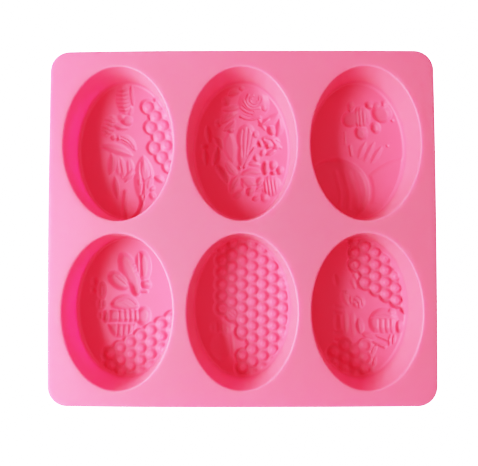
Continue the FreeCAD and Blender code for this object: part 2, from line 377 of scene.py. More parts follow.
class Relief:
    """Depths below a cup floor, in millimetres, over arrays of points (u, v).

    Each shape deepens the floor to its own depth where that is deeper than what is there; ridges raise it.
    """

    def __init__(self, u, v):
        self.u = u
        self.v = v
        self.depth = np.zeros_like(u)

    def turned(self, x, y, turn):
        """The points measured from (x, y), along and across the direction `turn` in degrees."""
        angle = math.radians(turn)
        du = self.u - x
        dv = self.v - y
        return du * math.cos(angle) + dv * math.sin(angle), dv * math.cos(angle) - du * math.sin(angle)

    def sink(self, inside, depth, edge):
        """Deepen where `inside`, the distance in from a shape's edge, is positive."""
        self.depth = np.maximum(self.depth, depth * rounded(inside, EDGE_SPREAD * edge))

    def ellipse(self, x, y, half_x, half_y, turn=0.0):
        """Distance inside an ellipse, negative outside."""
        along, across = self.turned(x, y, turn)
        radius = np.sqrt((along / half_x) ** 2 + (across / half_y) ** 2) + TINY
        slope = np.sqrt((along / half_x ** 2) ** 2 + (across / half_y ** 2) ** 2) / radius + TINY
        return np.clip((1.0 - radius) / slope, -FAR, min(half_x, half_y))

    def inside_circle(self, x, y, radius):
        """Distance inside a circle, negative outside."""
        return radius - np.hypot(self.u - x, self.v - y)

    def bowl(self, x, y, half_x, half_y, depth, turn=0.0, edge=None):
        """An oval hollow."""
        inside = self.ellipse(x, y, half_x, half_y, turn)
        self.sink(inside, depth, edge or min(half_x, half_y))

    def body(self, x, y, half_length, half_width, turn, depth, ribs, rib_height=0.7, edge=None):
        """An oval hollow with `ribs` ridges across it."""
        inside = self.ellipse(x, y, half_length, half_width, turn)
        along, _ = self.turned(x, y, turn)
        wave = 0.5 + 0.5 * np.cos(2 * PI * (ribs + 1) * (along + half_length) / (2 * half_length))
        shape = rounded(inside, EDGE_SPREAD * (edge or BODY_EDGE_SHARE * half_width))
        self.depth = np.maximum(self.depth, shape * (depth - rib_height * wave ** RIB_SHARPNESS))

    def leaf_inside(self, start, end, width, bend, fullness):
        """Distance inside a pointed leaf, and distance sideways from its middle line."""
        sx, sy = start
        length = math.hypot(end[0] - sx, end[1] - sy)
        along, across = self.turned(sx, sy, math.degrees(math.atan2(end[1] - sy, end[0] - sx)))
        t = along / length
        tc = np.clip(t, 0.0, 1.0)
        half = 0.5 * width * np.sin(PI * tc) ** fullness
        middle = 4 * bend * tc * (1 - tc)
        inside = half - np.abs(across - middle)
        over = np.maximum(-t, t - 1.0) * length
        inside = np.where(over > 0, -np.hypot(over, across), inside)
        return inside, across - middle

    def leaf(self, start, end, width, depth, bend=0.0, edge=None, vein=0.0, fullness=0.7):
        """A pointed hollow.  `vein` leaves a ridge that high along its middle."""
        inside, side = self.leaf_inside(start, end, width, bend, fullness)
        shape = rounded(inside, EDGE_SPREAD * (edge or LEAF_EDGE_SHARE * width)) * depth
        if vein:
            shape = shape - vein * np.exp(-(side / VEIN_HALF_WIDTH) ** 2) * smooth(inside / VEIN_START)
        self.depth = np.maximum(self.depth, shape)

    def distance(self, points):
        """Distance to a smooth line through the points."""
        path = spline(points)
        best = np.full(self.u.shape, FAR ** 2)
        for (ax, ay), (bx, by) in zip(path[:-1], path[1:]):
            dx = bx - ax
            dy = by - ay
            t = ((self.u - ax) * dx + (self.v - ay) * dy) / (dx * dx + dy * dy + TINY)
            t = np.clip(t, 0, 1)
            best = np.minimum(best, (self.u - ax - t * dx) ** 2 + (self.v - ay - t * dy) ** 2)
        return np.sqrt(best)

    def groove(self, points, width, depth):
        """A hollow along a line."""
        d = self.distance(points)
        self.depth = np.maximum(self.depth, depth * rounded(0.5 * width - d, 0.5 * width))

    def ridge(self, points, width, height):
        """A raised line, laid over whatever is there."""
        d = self.distance(points)
        self.depth = self.depth - height * rounded(0.5 * width - d, 0.5 * width)

    def ring(self, x, y, radius, width, depth, squash=1.0, start=0, end=360):
        """A groove along part of a circle, flattened by `squash`, between two angles in degrees."""
        angles = np.radians(np.linspace(start, end, max(3, int(abs(end - start) / RING_POINT_ANGLE))))
        points = [(x + radius * math.cos(a), y + squash * radius * math.sin(a)) for a in angles]
        self.groove(points, width, depth)

    def comb(self, origin, turn, keep, pitch=7.0, depth=1.2, share=0.86, border=1.2, fade_from=-FAR):
        """Dimpled domes parted by grooves on the hexagonal lattice through `origin`.

        `keep(x, y)` picks the cells.  A dome takes `share` of its cell's width.  The comb fades in over
        COMB_FADE to the right of `fade_from`.
        """
        row, slant = [(pitch * math.cos(math.radians(turn + a)), pitch * math.sin(math.radians(turn + a)))
                      for a in (0, 60)]
        nearest = np.full(self.u.shape, FAR)
        for i in range(-COMB_REACH, COMB_REACH + 1):
            for j in range(-COMB_REACH, COMB_REACH + 1):
                x = origin[0] + i * row[0] + j * slant[0]
                y = origin[1] + i * row[1] + j * slant[1]
                if (x / COMB_HALF_X) ** 2 + (y / COMB_HALF_Y) ** 2 > 1 or not keep(x, y):
                    continue
                nearest = np.minimum(nearest, np.hypot(self.u - x, self.v - y))
        half = 0.5 * pitch
        corner = half / math.cos(math.radians(30))
        dimple = DIMPLE_DEPTH * np.exp(-(nearest / DIMPLE_RADIUS) ** 2)
        inner = np.maximum(np.clip(nearest / (share * half), 0, 1) ** DOME_FULLNESS, dimple)
        outer = 1.0 - smooth((nearest - corner) / border)
        here = smooth((self.u - fade_from) / COMB_FADE)
        self.depth = np.maximum(self.depth, depth * here * np.where(nearest < corner, inner, outer))


# --- the six pictures ---------------------------------------------------------------------------------

# Places are millimetres from the middle of each cup floor, x to the right and y to the rear.  A bowl is
# (x, y, half width, half length, depth, turn), a body adds its ribs, and a leaf runs from point to point.


def right_comb_cells(x, y):
    """The edge of a comb at the right, cut off by a slanting line below."""
    lowest = -5.0 - 1.2 * (x - 20.7)
    return x > 11.0 + 0.17 * (27.0 - y) and lowest < y < 31.0


def picture_rear_left(relief):
    """Two bees, a wing, an open blossom, a tulip and the edge of a comb."""
    # the upper bee: ribbed body, neck, head and a narrow wing
    relief.body(-2.6, 31.0, 9.6, 4.7, 96, 1.7, 7, 0.6)
    relief.leaf((2.4, 40.0), (3.4, 27.0), 3.6, 1.0, bend=-0.8, edge=1.2)
    relief.bowl(1.6, 24.0, 2.0, 3.4, 0.8, -15)
    relief.bowl(-3.6, 20.6, 2.6, 2.2, 1.1)
    relief.bowl(-0.6, 18.2, 3.8, 3.3, 1.7, -10, edge=1.8)
    relief.leaf((0.6, 13.8), (-9.8, 16.8), 4.4, 1.4, bend=0.5, edge=1.6)
    # the lower bee: slanted ribs, two eyes and a veined wing
    relief.body(-11.0, 15.0, 7.2, 4.4, 70, 1.3, 5, 0.8)
    relief.bowl(-8.6, 8.2, 1.7, 1.8, 1.1, edge=1.0)
    relief.bowl(-5.2, 7.9, 1.6, 1.7, 1.1, edge=1.0)
    relief.leaf((-6.6, 9.8), (5.2, 0.2), 6.0, 1.1, bend=1.3, edge=2.0)
    for shift in (0.0, 1.7, 3.3):
        tip = (3.6 - 0.5 * shift, 2.2 - 0.6 * shift)
        relief.ridge([(-4.6, 8.9 - shift), (0.2, 6.4 - shift), tip], 1.1, 0.8)
    relief.leaf((-16.5, 3.4), (3.4, -2.8), 6.4, 1.2, bend=0.9, edge=2.4)
    # the open blossom and its stem
    relief.leaf((-9.4, -0.5), (-10.8, -14.0), 5.4, 1.3, bend=1.2, edge=1.8)
    relief.leaf((-7.2, -14.5), (-5.6, -28.5), 4.4, 1.5, bend=-0.6, edge=1.8)
    relief.leaf((-5.4, -2.0), (-1.6, -17.5), 6.6, 1.1, bend=-0.6, edge=2.2, vein=0.5)
    relief.leaf((0.8, -3.6), (1.0, -17.0), 5.0, 1.0, bend=0.8, edge=1.8, vein=0.5)
    relief.leaf((4.2, -9.0), (-2.8, -16.6), 2.8, 1.2, bend=0.4, edge=0.9)
    relief.leaf((4.8, -12.0), (-1.8, -18.6), 2.6, 1.1, bend=-0.3, edge=0.9)
    relief.ridge([(-4.6, -5.0), (-4.2, -20.0), (-4.4, -35.0)], 2.0, 0.5)
    relief.groove([(-1.0, -24.0), (-1.8, -32.0), (-1.4, -39.5)], 3.4, 0.9)
    # the tulip, its curled inner petals and its stem
    relief.leaf((9.2, -2.4), (8.0, -29.0), 11.8, 1.3, bend=1.1, edge=2.4, fullness=0.65)
    relief.leaf((9.4, -4.6), (10.0, -15.5), 2.6, 1.7, edge=1.0)
    relief.ridge([(7.8, -6.4), (7.4, -11.0), (8.2, -15.5)], 1.0, 0.6)
    relief.ridge([(11.4, -6.6), (12.8, -11.0), (13.0, -15.0)], 1.2, 0.7)
    relief.groove([(8.2, -18.8), (10.6, -17.2), (13.6, -15.0)], 2.2, 1.9)
    relief.groove([(12.8, -15.6), (12.0, -21.0)], 2.2, 1.9)
    relief.groove([(9.6, -20.6), (10.2, -26.4), (8.4, -31.0)], 1.7, 1.7)
    relief.bowl(6.8, -18.0, 1.6, 2.8, 1.9, edge=1.2)
    relief.ridge([(8.4, -16.0), (9.0, -20.0), (8.2, -25.0)], 1.2, 0.9)
    relief.groove([(8.0, -26.5), (8.6, -31.0), (6.8, -36.0), (3.5, -40.0)], 2.8, 1.5)
    relief.leaf((15.4, -14.8), (21.4, -18.6), 4.4, 1.2, bend=0.6, edge=1.4)
    relief.bowl(14.2, -22.0, 2.2, 2.0, 1.2, edge=1.2)
    relief.bowl(14.8, -26.4, 2.0, 2.6, 0.9, 30, edge=1.2)
    relief.comb((14.0, 14.6), 9.4, right_comb_cells, pitch=7.1, depth=1.0, share=0.95, border=0.9)


def picture_rear_middle(relief):
    """A rose, a tulip bud, leaves and a bee."""
    # the rose
    relief.bowl(7.2, 28.4, 9.4, 8.8, 1.2, -12, edge=2.6)
    for radius, start, end in ((2.6, 100, 330), (4.6, 140, 380), (6.4, 190, 300)):
        relief.ring(7.6, 31.4, radius, 1.5, 2.0, 0.92, start, end)
    relief.bowl(5.6, 32.4, 2.0, 2.0, 2.2, edge=1.4)
    relief.leaf((10.6, 34.6), (9.6, 29.0), 2.6, 2.0, bend=0.6, edge=1.0)
    relief.ridge([(0.2, 27.0), (3.0, 24.8), (7.0, 23.6)], 1.0, 0.8)
    relief.ridge([(-0.4, 24.6), (2.4, 22.6), (6.0, 21.8)], 1.0, 0.7)
    relief.bowl(13.4, 26.2, 2.6, 2.8, 1.7, 20, edge=1.4)
    relief.groove([(-0.5, 20.6), (5.0, 18.9), (11.0, 20.3)], 1.3, 1.5)
    # the bud and the blossoms right of it
    relief.leaf((9.6, 15.0), (17.4, 20.6), 3.6, 1.5, bend=-0.6, edge=1.3)
    relief.bowl(17.4, 12.4, 2.5, 3.4, 1.9, 20, edge=1.5)
    relief.leaf((14.0, 14.5), (22.5, 22.8), 6.0, 0.8, edge=1.6)
    relief.leaf((22.4, 20.0), (20.6, 8.0), 5.0, 1.0, bend=1.0, edge=1.4)
    relief.leaf((-7.0, 12.5), (-5.0, -7.0), 8.0, 0.7, bend=-1.2, edge=1.4)
    relief.bowl(2.8, 7.6, 5.8, 8.8, 1.4, edge=1.8)
    relief.leaf((-0.4, -10.0), (3.2, 11.0), 8.4, 1.4, bend=-0.5, edge=1.8, fullness=0.6)
    relief.ridge([(1.0, 13.0), (0.4, 6.0), (0.8, -3.0)], 1.1, 0.6)
    relief.ridge([(3.6, 14.0), (3.0, 6.0), (2.2, -3.0)], 1.1, 0.6)
    relief.ridge([(6.2, 12.0), (5.4, 6.0), (3.6, -1.5)], 1.1, 0.6)
    relief.ridge([(-4.2, 10.5), (-2.4, 15.6), (2.0, 18.4), (8.0, 17.6), (10.0, 13.0)], 1.8, 0.6)
    relief.bowl(8.0, 10.0, 1.9, 2.4, 1.9, 15, edge=1.2)
    relief.bowl(10.8, 4.4, 1.6, 2.2, 1.9, 15, edge=1.2)
    relief.groove([(7.6, 2.5), (5.4, -1.0), (3.0, -5.5), (1.4, -9.5)], 1.8, 1.7)
    relief.leaf((12.0, 8.0), (23.5, 1.5), 8.4, 1.2, bend=0.4, edge=1.6)
    relief.ridge([(14.0, 7.2), (17.0, 6.4), (18.8, 3.6), (17.2, 1.0)], 1.8, 0.8)
    relief.ridge([(20.0, 6.4), (22.4, 4.0), (21.8, 0.0)], 1.6, 0.8)
    relief.bowl(15.6, 3.2, 1.7, 2.0, 1.9, edge=1.0)
    relief.leaf((14.0, -2.5), (21.0, 1.0), 3.4, 1.2, edge=1.2)
    relief.bowl(8.6, -4.4, 1.9, 2.4, 1.2, 20, edge=1.2)
    relief.bowl(12.4, -1.0, 1.7, 2.4, 1.0, -20, edge=1.2)
    relief.leaf((3.4, -7.5), (11.0, -8.5), 3.6, 0.9, bend=0.6, edge=1.2)
    relief.leaf((9.6, 20.0), (14.4, 12.0), 3.2, 0.9, edge=1.2)
    relief.bowl(-1.0, -9.6, 1.6, 1.8, 1.5, edge=1.2)
    # the leaves below
    relief.leaf((-1.8, -15.8), (12.0, -12.6), 5.4, 1.3, bend=1.6, edge=1.4)
    relief.ridge([(0.2, -14.6), (5.0, -13.6), (10.0, -14.4)], 1.1, 0.6)
    relief.leaf((-1.0, -15.6), (9.6, -20.0), 7.0, 1.5, bend=-0.4, edge=1.8)
    relief.bowl(10.6, -18.0, 2.4, 3.2, 1.7, -40, edge=1.5)
    relief.bowl(5.2, -23.4, 2.6, 3.6, 1.9, -30, edge=1.6)
    relief.leaf((7.5, -24.0), (14.0, -21.0), 3.6, 1.0, bend=0.6, edge=1.2)
    relief.leaf((-7.0, -25.5), (0.5, -12.5), 5.2, 1.2, bend=1.2, edge=1.4, vein=0.4)
    relief.leaf((-9.6, -6.0), (-2.2, -14.5), 5.0, 1.1, bend=-0.9, edge=1.4, vein=0.4)
    relief.leaf((-6.5, -28.0), (1.6, -22.0), 4.6, 1.0, bend=-0.8, edge=1.4)
    relief.leaf((-15.5, -8.0), (-8.0, -19.0), 6.0, 1.0, bend=0.8, edge=1.6)
    # the leaves at the left
    relief.leaf((-13.0, 16.0), (-2.2, 23.0), 5.4, 1.2, bend=1.0, edge=1.4, vein=0.4)
    relief.leaf((-11.0, 12.0), (-3.8, 18.5), 4.4, 1.2, bend=-1.0, edge=1.3)
    relief.bowl(-6.6, 12.6, 2.2, 1.8, 1.8, edge=1.2)
    relief.leaf((-12.0, 25.0), (-1.0, 27.0), 4.6, 1.0, bend=-0.8, edge=1.4)
    relief.bowl(-9.2, 29.5, 2.6, 3.2, 1.2, 20)
    relief.leaf((-17.0, 8.0), (-11.0, 1.0), 4.6, 1.0, bend=0.8)
    relief.leaf((-20.5, 15.5), (-19.0, 4.5), 4.2, 0.9)
    relief.bowl(-13.8, 16.6, 2.2, 2.6, 1.1)
    # the bee at the lower right
    relief.bowl(14.0, -10.0, 2.3, 4.4, 2.2, edge=1.5)
    relief.bowl(18.4, -8.4, 2.5, 2.9, 1.5, edge=1.2)
    relief.bowl(22.4, -11.4, 2.3, 2.7, 1.5, edge=1.2)
    relief.bowl(18.6, -12.8, 2.0, 1.7, 1.5, edge=1.0)
    relief.body(17.2, -20.6, 6.2, 6.4, 8, 1.7, 5, 0.8, edge=2.2)
    # small leaves and berries round the picture's edge
    relief.bowl(13.6, -27.5, 2.8, 3.2, 1.1, 20, edge=1.6)
    relief.bowl(8.4, -28.0, 2.6, 1.8, 1.2, 20, edge=1.2)
    relief.bowl(1.4, -19.8, 1.8, 2.6, 0.9, 20, edge=1.2)
    relief.leaf((-14.0, 4.0), (-17.0, -9.0), 4.6, 1.0, bend=0.7, edge=1.4)
    relief.leaf((-21.5, 2.0), (-21.0, -9.0), 3.6, 0.8, edge=1.2)
    relief.bowl(-22.0, 2.8, 2.2, 1.8, 0.9, edge=1.2)
    relief.leaf((-8.0, 33.0), (-1.0, 35.5), 4.4, 0.9, bend=0.8, edge=1.4)
    relief.bowl(0.0, 37.4, 1.8, 1.6, 1.0)


def picture_rear_right(relief):
    """A bee over two large petals."""
    # the bee
    relief.bowl(-2.8, 19.2, 5.8, 5.0, 2.0, 30, edge=2.0)
    relief.bowl(-3.0, 25.8, 2.2, 3.6, 1.3, edge=1.6)
    relief.body(3.2, 20.2, 5.4, 6.4, 4, 1.9, 4, 0.8, edge=1.8)
    relief.bowl(8.2, 27.2, 3.0, 2.4, 1.7, -15, edge=1.4)
    relief.bowl(15.4, 22.2, 6.2, 5.6, 2.2, -30, edge=2.4)
    relief.bowl(12.6, 27.0, 3.0, 2.2, 1.5, 10, edge=1.6)
    relief.bowl(17.0, 27.4, 2.2, 2.6, 1.2, edge=1.5)
    relief.bowl(11.6, 13.8, 3.0, 3.8, 1.4, 15, edge=1.6)
    relief.bowl(3.0, 10.8, 3.8, 4.4, 1.8, 25, edge=1.6)
    # its trail and the grass
    relief.groove([(-6.6, 11.0), (-6.4, 4.0)], 1.4, 0.5)
    relief.groove([(-3.6, 3.0), (-2.8, -2.6)], 1.6, 1.0)
    for start, end in (((1.0, -5.0), (6.0, 6.0)), ((4.5, -7.0), (11.0, 5.5)), ((8.5, -8.0), (15.5, 3.0))):
        relief.leaf(start, end, 4.0, 0.7, edge=1.6)
    # the two petals, parted by a narrow ridge
    left_petal = relief.ellipse(-12.0, -24.0, 19.8, 19.8)
    relief.sink(left_petal, 1.2, 1.4)
    clear_of_left = -1.4 - relief.inside_circle(-12.0, -24.0, 19.8)
    right_petal = np.minimum(relief.ellipse(20.0, -18.0, 20.0, 11.0, 32.0), clear_of_left)
    relief.sink(right_petal, 0.5, 1.6)
    for shift in (0.0, 5.0, 10.0):
        relief.ridge([(-12.0 + shift, -12.0), (-9.0 + shift, -24.0), (-9.0 + shift, -34.0)], 3.0, 0.22)
    relief.bowl(17.5, -14.0, 3.0, 2.6, 0.7, 30)
    relief.bowl(13.0, -22.0, 3.0, 2.8, 0.7, 20)
    relief.bowl(21.0, -21.0, 2.6, 3.2, 0.7, 20)
    relief.bowl(18.6, 3.0, 0.9, 0.9, 1.0)
    relief.bowl(21.6, 18.0, 1.0, 1.2, 1.0)


def lower_comb_cells(x, y):
    """The comb below a line that climbs to the right."""
    return x > -11.0 and y < -8.5 - 0.58 * (20.4 - x)


def picture_front_left(relief):
    """A bee with three wings over a larger one, and the edge of a comb."""
    # the upper bee: long body, two wings, head and feeler
    relief.bowl(1.4, 20.8, 12.2, 5.4, 2.1, 113, edge=3.0)
    relief.bowl(5.2, 10.8, 4.8, 3.0, 2.2, 100, edge=1.6)
    for x, y in ((3.4, 25.4), (4.4, 23.2), (5.3, 21.0), (6.2, 18.8)):
        relief.ridge([(x - 1.6, y - 0.7), (x + 1.6, y + 0.7)], 1.1, 0.45)
    relief.bowl(9.4, 24.0, 9.2, 5.0, 1.8, 93, edge=2.8)
    relief.ridge([(7.4, 31.0), (7.4, 25.0), (7.8, 18.5)], 1.5, 0.9)
    relief.groove([(8.9, 28.0), (8.8, 20.0)], 1.2, 2.0)
    relief.bowl(-4.8, 15.4, 7.4, 4.8, 1.8, -38, edge=2.0)
    relief.ridge([(-4.6, 18.4), (-1.2, 14.8), (0.8, 12.6)], 1.2, 0.7)
    relief.ridge([(-7.6, 17.8), (-4.0, 14.8), (-0.8, 12.4)], 1.2, 0.6)
    relief.bowl(11.0, 13.2, 3.5, 2.9, 1.7, -20, edge=1.8)
    relief.bowl(12.4, 14.6, 1.3, 1.2, 2.0)
    relief.groove([(8.0, 9.2), (11.6, 9.0)], 1.8, 1.3)
    # the larger bee: wing, banded body and head
    relief.leaf((-9.4, 1.6), (7.0, 0.0), 10.6, 1.5, bend=1.4, edge=1.8, fullness=0.55)
    relief.ridge([(-6.0, 3.6), (-0.5, 4.4), (4.4, 1.6)], 1.2, 0.7)
    relief.groove([(-2.4, 2.3), (2.4, -0.3)], 1.1, 1.9)
    upper = np.minimum(relief.ellipse(-1.6, -6.0, 9.2, 9.0), np.minimum(-1.4 - relief.v, relief.v + 9.0))
    relief.sink(upper, 1.6, 1.3)
    lower = np.minimum(relief.ellipse(-2.8, -9.0, 8.4, 9.4), np.minimum(-9.8 - relief.v, relief.v + 18.0))
    relief.sink(lower, 1.5, 1.3)
    for x in (-5.2, -2.0, 1.0, 4.0):
        relief.ridge([(x, -2.0), (x + 0.3, -8.6)], 1.5, 0.8)
        relief.ridge([(x - 0.4, -10.4), (x - 0.8, -16.5)], 1.5, 0.8)
    relief.bowl(9.8, -5.4, 4.4, 5.8, 1.9, -6, edge=2.2)
    relief.bowl(13.0, -3.4, 0.9, 0.9, 2.3)
    relief.bowl(12.2, -6.4, 0.9, 0.9, 2.3)
    relief.ridge([(-15.4, -7.0), (-14.4, -12.5), (-11.5, -17.0), (-7.5, -20.4), (-2.6, -19.0), (3.0, -15.8),
                  (8.4, -12.4)], 2.0, 0.5)
    relief.bowl(-12.4, -5.6, 2.4, 3.8, 1.5, edge=1.4)
    # the third bee behind, seen on edge
    for x, y, half_height in ((-14.6, 9.6, 5.6), (-14.9, 1.8, 3.4), (-14.2, -4.8, 2.6)):
        relief.bowl(x, y, 3.0, half_height, 0.9, edge=1.2)
        relief.ridge([(x, y + 0.4 * half_height), (x, y - 0.4 * half_height)], 2.4, 0.6)
    relief.bowl(-19.0, 14.6, 2.2, 2.8, 1.0)
    relief.bowl(-19.6, 9.6, 1.8, 2.0, 1.0)
    relief.comb((20.4, -10.2), 30.0, lower_comb_cells)


def wide_comb_cells(x, y):
    """The comb that covers all but the lower left, where the bee sits."""
    above_bee = x > -16.0 and y > -2.0 - 0.75 * (x + 12.0) - 0.035 * (x + 12.0) ** 2
    return above_bee or x > 1.0 or (x > -5.0 and y < -24.0)


def picture_front_middle(relief):
    """A field of comb with a bee at its lower left."""
    relief.body(-12.0, -12.0, 7.0, 4.4, 0, 0.7, 4, 0.3, edge=2.4)
    relief.leaf((-13.0, -15.0), (-12.0, -31.0), 12.0, 0.5, edge=3.6, fullness=0.5)
    relief.leaf((-6.0, -15.0), (-5.0, -31.0), 3.4, 0.4, edge=1.6)
    relief.leaf((-14.5, 0.5), (-0.2, -9.2), 5.6, 1.2, bend=1.0, edge=1.2, vein=0.5)
    relief.leaf((-7.0, -5.5), (-1.2, -10.5), 3.2, 1.0, edge=0.9)
    relief.comb((12.5, -0.8), 90.0, wide_comb_cells, depth=1.35, fade_from=-21.0)


def upper_comb_cells(x, y):
    """The comb's corner: a band that falls to the right, with a step at its lower left."""
    lowest = 11.5 - 0.6 * (x - 5.0)
    highest = 41.0 - 0.58 * (x - 5.0)
    return x > -4.0 and lowest < y < highest and (x > 1.0 or y > 22.0)


def low_comb_cells(x, y):
    """The foot of a comb at the lower left."""
    return -14.0 < x < 7.5 and y < -19.0 - 0.35 * max(0.0, -x)


def picture_front_right(relief):
    """A comb's corner, curled blossoms, a bee and the foot of another comb."""
    relief.comb((11.3, 17.7), -30.0, upper_comb_cells, depth=1.5)
    relief.comb((4.4, -22.8), -30.0, low_comb_cells, depth=0.9)
    # the braided stalk and curled blossoms
    for x, y in ((-1.6, 24.4), (-1.4, 18.6), (-2.4, 13.4), (0.8, 13.0)):
        relief.leaf((x - 1.2, y + 3.4), (x + 1.4, y - 3.2), 3.4, 0.8, edge=1.5)
    relief.leaf((-13.5, 19.5), (-11.5, 11.5), 3.8, 0.5, edge=1.6)
    relief.leaf((-8.6, 10.0), (-4.6, 0.2), 4.8, 0.8, bend=-0.8, edge=1.6)
    relief.bowl(-6.4, 8.4, 1.5, 1.5, 0.8, edge=0.9)
    relief.bowl(-3.4, 3.8, 1.3, 2.6, 1.1, edge=1.1)
    relief.bowl(0.6, 2.8, 3.8, 4.1, 1.2, edge=1.4)
    relief.ridge([(-1.0, 5.6), (1.8, 4.0), (2.4, 0.2)], 1.2, 0.9)
    relief.ridge([(-1.2, 3.0), (0.2, 2.0), (0.4, -0.2)], 1.0, 0.7)
    # the bee at the right
    relief.sink(np.minimum(relief.ellipse(15.0, -9.0, 8.8, 8.4), relief.v + 15.6), 1.6, 2.4)
    relief.ridge([(8.8, -6.4), (15.0, -5.8), (22.2, -6.6)], 1.4, 0.5)
    for x in (13.0, 16.2, 19.2, 22.0):
        relief.ridge([(x, -8.0), (x, -14.8)], 1.9, 0.5)
    relief.bowl(19.8, -3.4, 2.4, 2.6, 1.6, edge=1.2)
    relief.bowl(24.2, -11.6, 2.2, 3.8, 1.5, edge=1.2)
    relief.leaf((19.2, -15.8), (18.4, -23.0), 2.4, 1.2, edge=0.9)
    relief.leaf((21.4, -15.8), (20.6, -22.0), 2.2, 1.2, edge=0.9)
    # leaves below the bee, and the bars and blades at the left
    relief.leaf((0.6, -6.6), (1.8, -16.0), 5.2, 1.5, edge=1.8)
    relief.leaf((2.0, -15.0), (12.0, -17.5), 4.6, 1.1, bend=-0.8, edge=1.2, vein=0.4)
    relief.groove([(11.0, -16.8), (17.6, -19.6)], 1.5, 1.1)
    relief.groove([(9.4, -20.8), (15.8, -23.4)], 1.9, 1.2)
    relief.leaf((11.4, -22.0), (8.2, -29.0), 2.6, 1.2, bend=-0.6, edge=0.9)
    relief.leaf((10.4, -28.5), (8.6, -36.0), 2.4, 1.1, edge=0.9)
    for y in (0.5, -3.4, -15.0, -19.5):
        relief.groove([(-13.0, y), (-9.0, y - 0.3)], 2.4, 0.4)
    relief.leaf((-7.6, -1.5), (-7.2, -16.0), 4.6, 0.7, edge=1.8)
    relief.leaf((-2.8, -1.5), (-2.4, -18.5), 3.8, 0.8, edge=1.6, vein=0.3)
    relief.leaf((-12.2, -3.0), (-12.0, -15.0), 4.2, 0.5, edge=1.8)


PICTURES = {
    "rear_left": picture_rear_left,
    "rear_middle": picture_rear_middle,
    "rear_right": picture_rear_right,
    "front_left": picture_front_left,
    "front_middle": picture_front_middle,
    "front_right": picture_front_right,
}


# --- the picture floors -------------------------------------------------------------------------------

# Depths are raised by RELIEF_GAIN; past FREELY_DEEP they flatten out towards DEEPEST
RELIEF_GAIN = 1.7
FREELY_DEEP = 2.0
DEEPEST = 2.9

# The pictures fade out this close to the wall, and are smoothed this many times
RELIEF_FADE = 1.4
SOFTENING = 2

# How firm a floor looks away from its wall (also the firmness from which the painted floor shade is full),
# and the cells of its mesh across and along
FLOOR_FIRMNESS_AND_SHADE = 0.7
GRID_X = 170
GRID_Y = 240


def soften(field):
    """Average each point with its neighbours."""
    field[1:-1] = 0.25 * field[:-2] + 0.5 * field[1:-1] + 0.25 * field[2:]
    field[:, 1:-1] = 0.25 * field[:, :-2] + 0.5 * field[:, 1:-1] + 0.25 * field[:, 2:]


def floor_plate(place, picture):
    """A plate that fills the foot of a cup, its top sunk with a picture and filleted into the wall."""
    s, t = np.meshgrid(np.linspace(-1, 1, GRID_X + 1), np.linspace(-1, 1, GRID_Y + 1))
    rim_z = FLOOR_TOP + FLOOR_FILLET_RADIUS
    half_x = OPENING_X + inner_offset(rim_z) + SEAT_OVERLAP
    half_y = OPENING_Y + inner_offset(rim_z) + SEAT_OVERLAP
    u = half_x * s * np.sqrt(1 - t ** 2 / 2)
    v = half_y * t * np.sqrt(1 - s ** 2 / 2)
    radius = np.hypot(u / half_x, v / half_y) + TINY
    slope = np.hypot(u / half_x ** 2, v / half_y ** 2) / radius + TINY
    from_wall = np.clip((1 - radius) / slope, 0, None)
    relief = Relief(u, v)
    picture(relief)
    for _ in range(SOFTENING):
        soften(relief.depth)
    near_wall = np.clip(FLOOR_FILLET_RADIUS - from_wall, 0, None)
    fillet = FLOOR_FILLET_RADIUS - np.sqrt(np.clip(FLOOR_FILLET_RADIUS ** 2 - near_wall ** 2, 0, None))
    sunk = RELIEF_GAIN * relief.depth
    room = DEEPEST - FREELY_DEEP
    sunk = np.where(sunk > FREELY_DEEP, FREELY_DEEP + room * np.tanh((sunk - FREELY_DEEP) / room), sunk)
    z = FLOOR_TOP + fillet - sunk * smooth(from_wall / RELIEF_FADE)
    centre = CENTRES[place]
    top = np.stack([centre[0] + u, centre[1] + v, z], axis=-1).reshape(-1, 3)
    index = np.arange(top.shape[0]).reshape(GRID_Y + 1, GRID_X + 1)
    faces = np.stack([index[:-1, :-1], index[:-1, 1:], index[1:, 1:], index[1:, :-1]], axis=-1).reshape(-1, 4)
    rim = np.concatenate([index[0, :-1], index[:-1, -1], index[-1, :0:-1], index[:0:-1, 0]])
    foot_x = OPENING_X + inner_offset(0.0) + SEAT_OVERLAP
    foot_y = OPENING_Y + inner_offset(0.0) + SEAT_OVERLAP
    foot = top[rim].copy()
    foot[:, 0] = centre[0] + (foot[:, 0] - centre[0]) * foot_x / half_x
    foot[:, 1] = centre[1] + (foot[:, 1] - centre[1]) * foot_y / half_y
    foot[:, 2] = 0.0
    base = top.shape[0]
    around = len(rim)
    sides = []
    for i in range(around):
        after = (i + 1) % around
        sides.append((int(rim[i]), base + i, base + after, int(rim[after])))
    underside = [tuple(base + i for i in reversed(range(around)))]
    piece = mesh_object("picture_floor_" + place, np.concatenate([top, foot]),
                        [tuple(int(i) for i in face) for face in faces] + sides + underside)
    # The whole floor takes firmness and the full painted floor shade
    mark_seam(piece, np.concatenate([from_wall.ravel(), np.zeros(around)]), FLOOR_FIRMNESS_AND_SHADE)
    return piece


# --- silicone -----------------------------------------------------------------------------------------

PINK = (0.99, 0.23, 0.335, 1.0)
PALE_PINK = (0.995, 0.26, 0.365, 1.0)
# Painted shade: a darker, more violet pink for the cup floors and the foot of the cup walls, standing in for
# the shade and tinted light down in the cups
SHADED_FLOOR_PINK = (0.85, 0.195, 0.335, 1.0)
CLOUD_SCALE = 28.0
CLOUD_DETAIL = 3.0
GRAIN_SCALE = 2200.0
GRAIN_DETAIL = 4.0
GRAIN_ROUGHNESS = 0.6
GRAIN_STRENGTH = 0.12
GRAIN_HEIGHT = 0.00006
SMOOTHEST = 0.36
ROUGHEST = 0.50
REFRACTION = 1.41

# How far red, green and blue travel inside, as multiples of a scale in metres
LIGHT_REACH = (1.2, 0.60, 1.0)
LIGHT_REACH_SCALE = 0.008


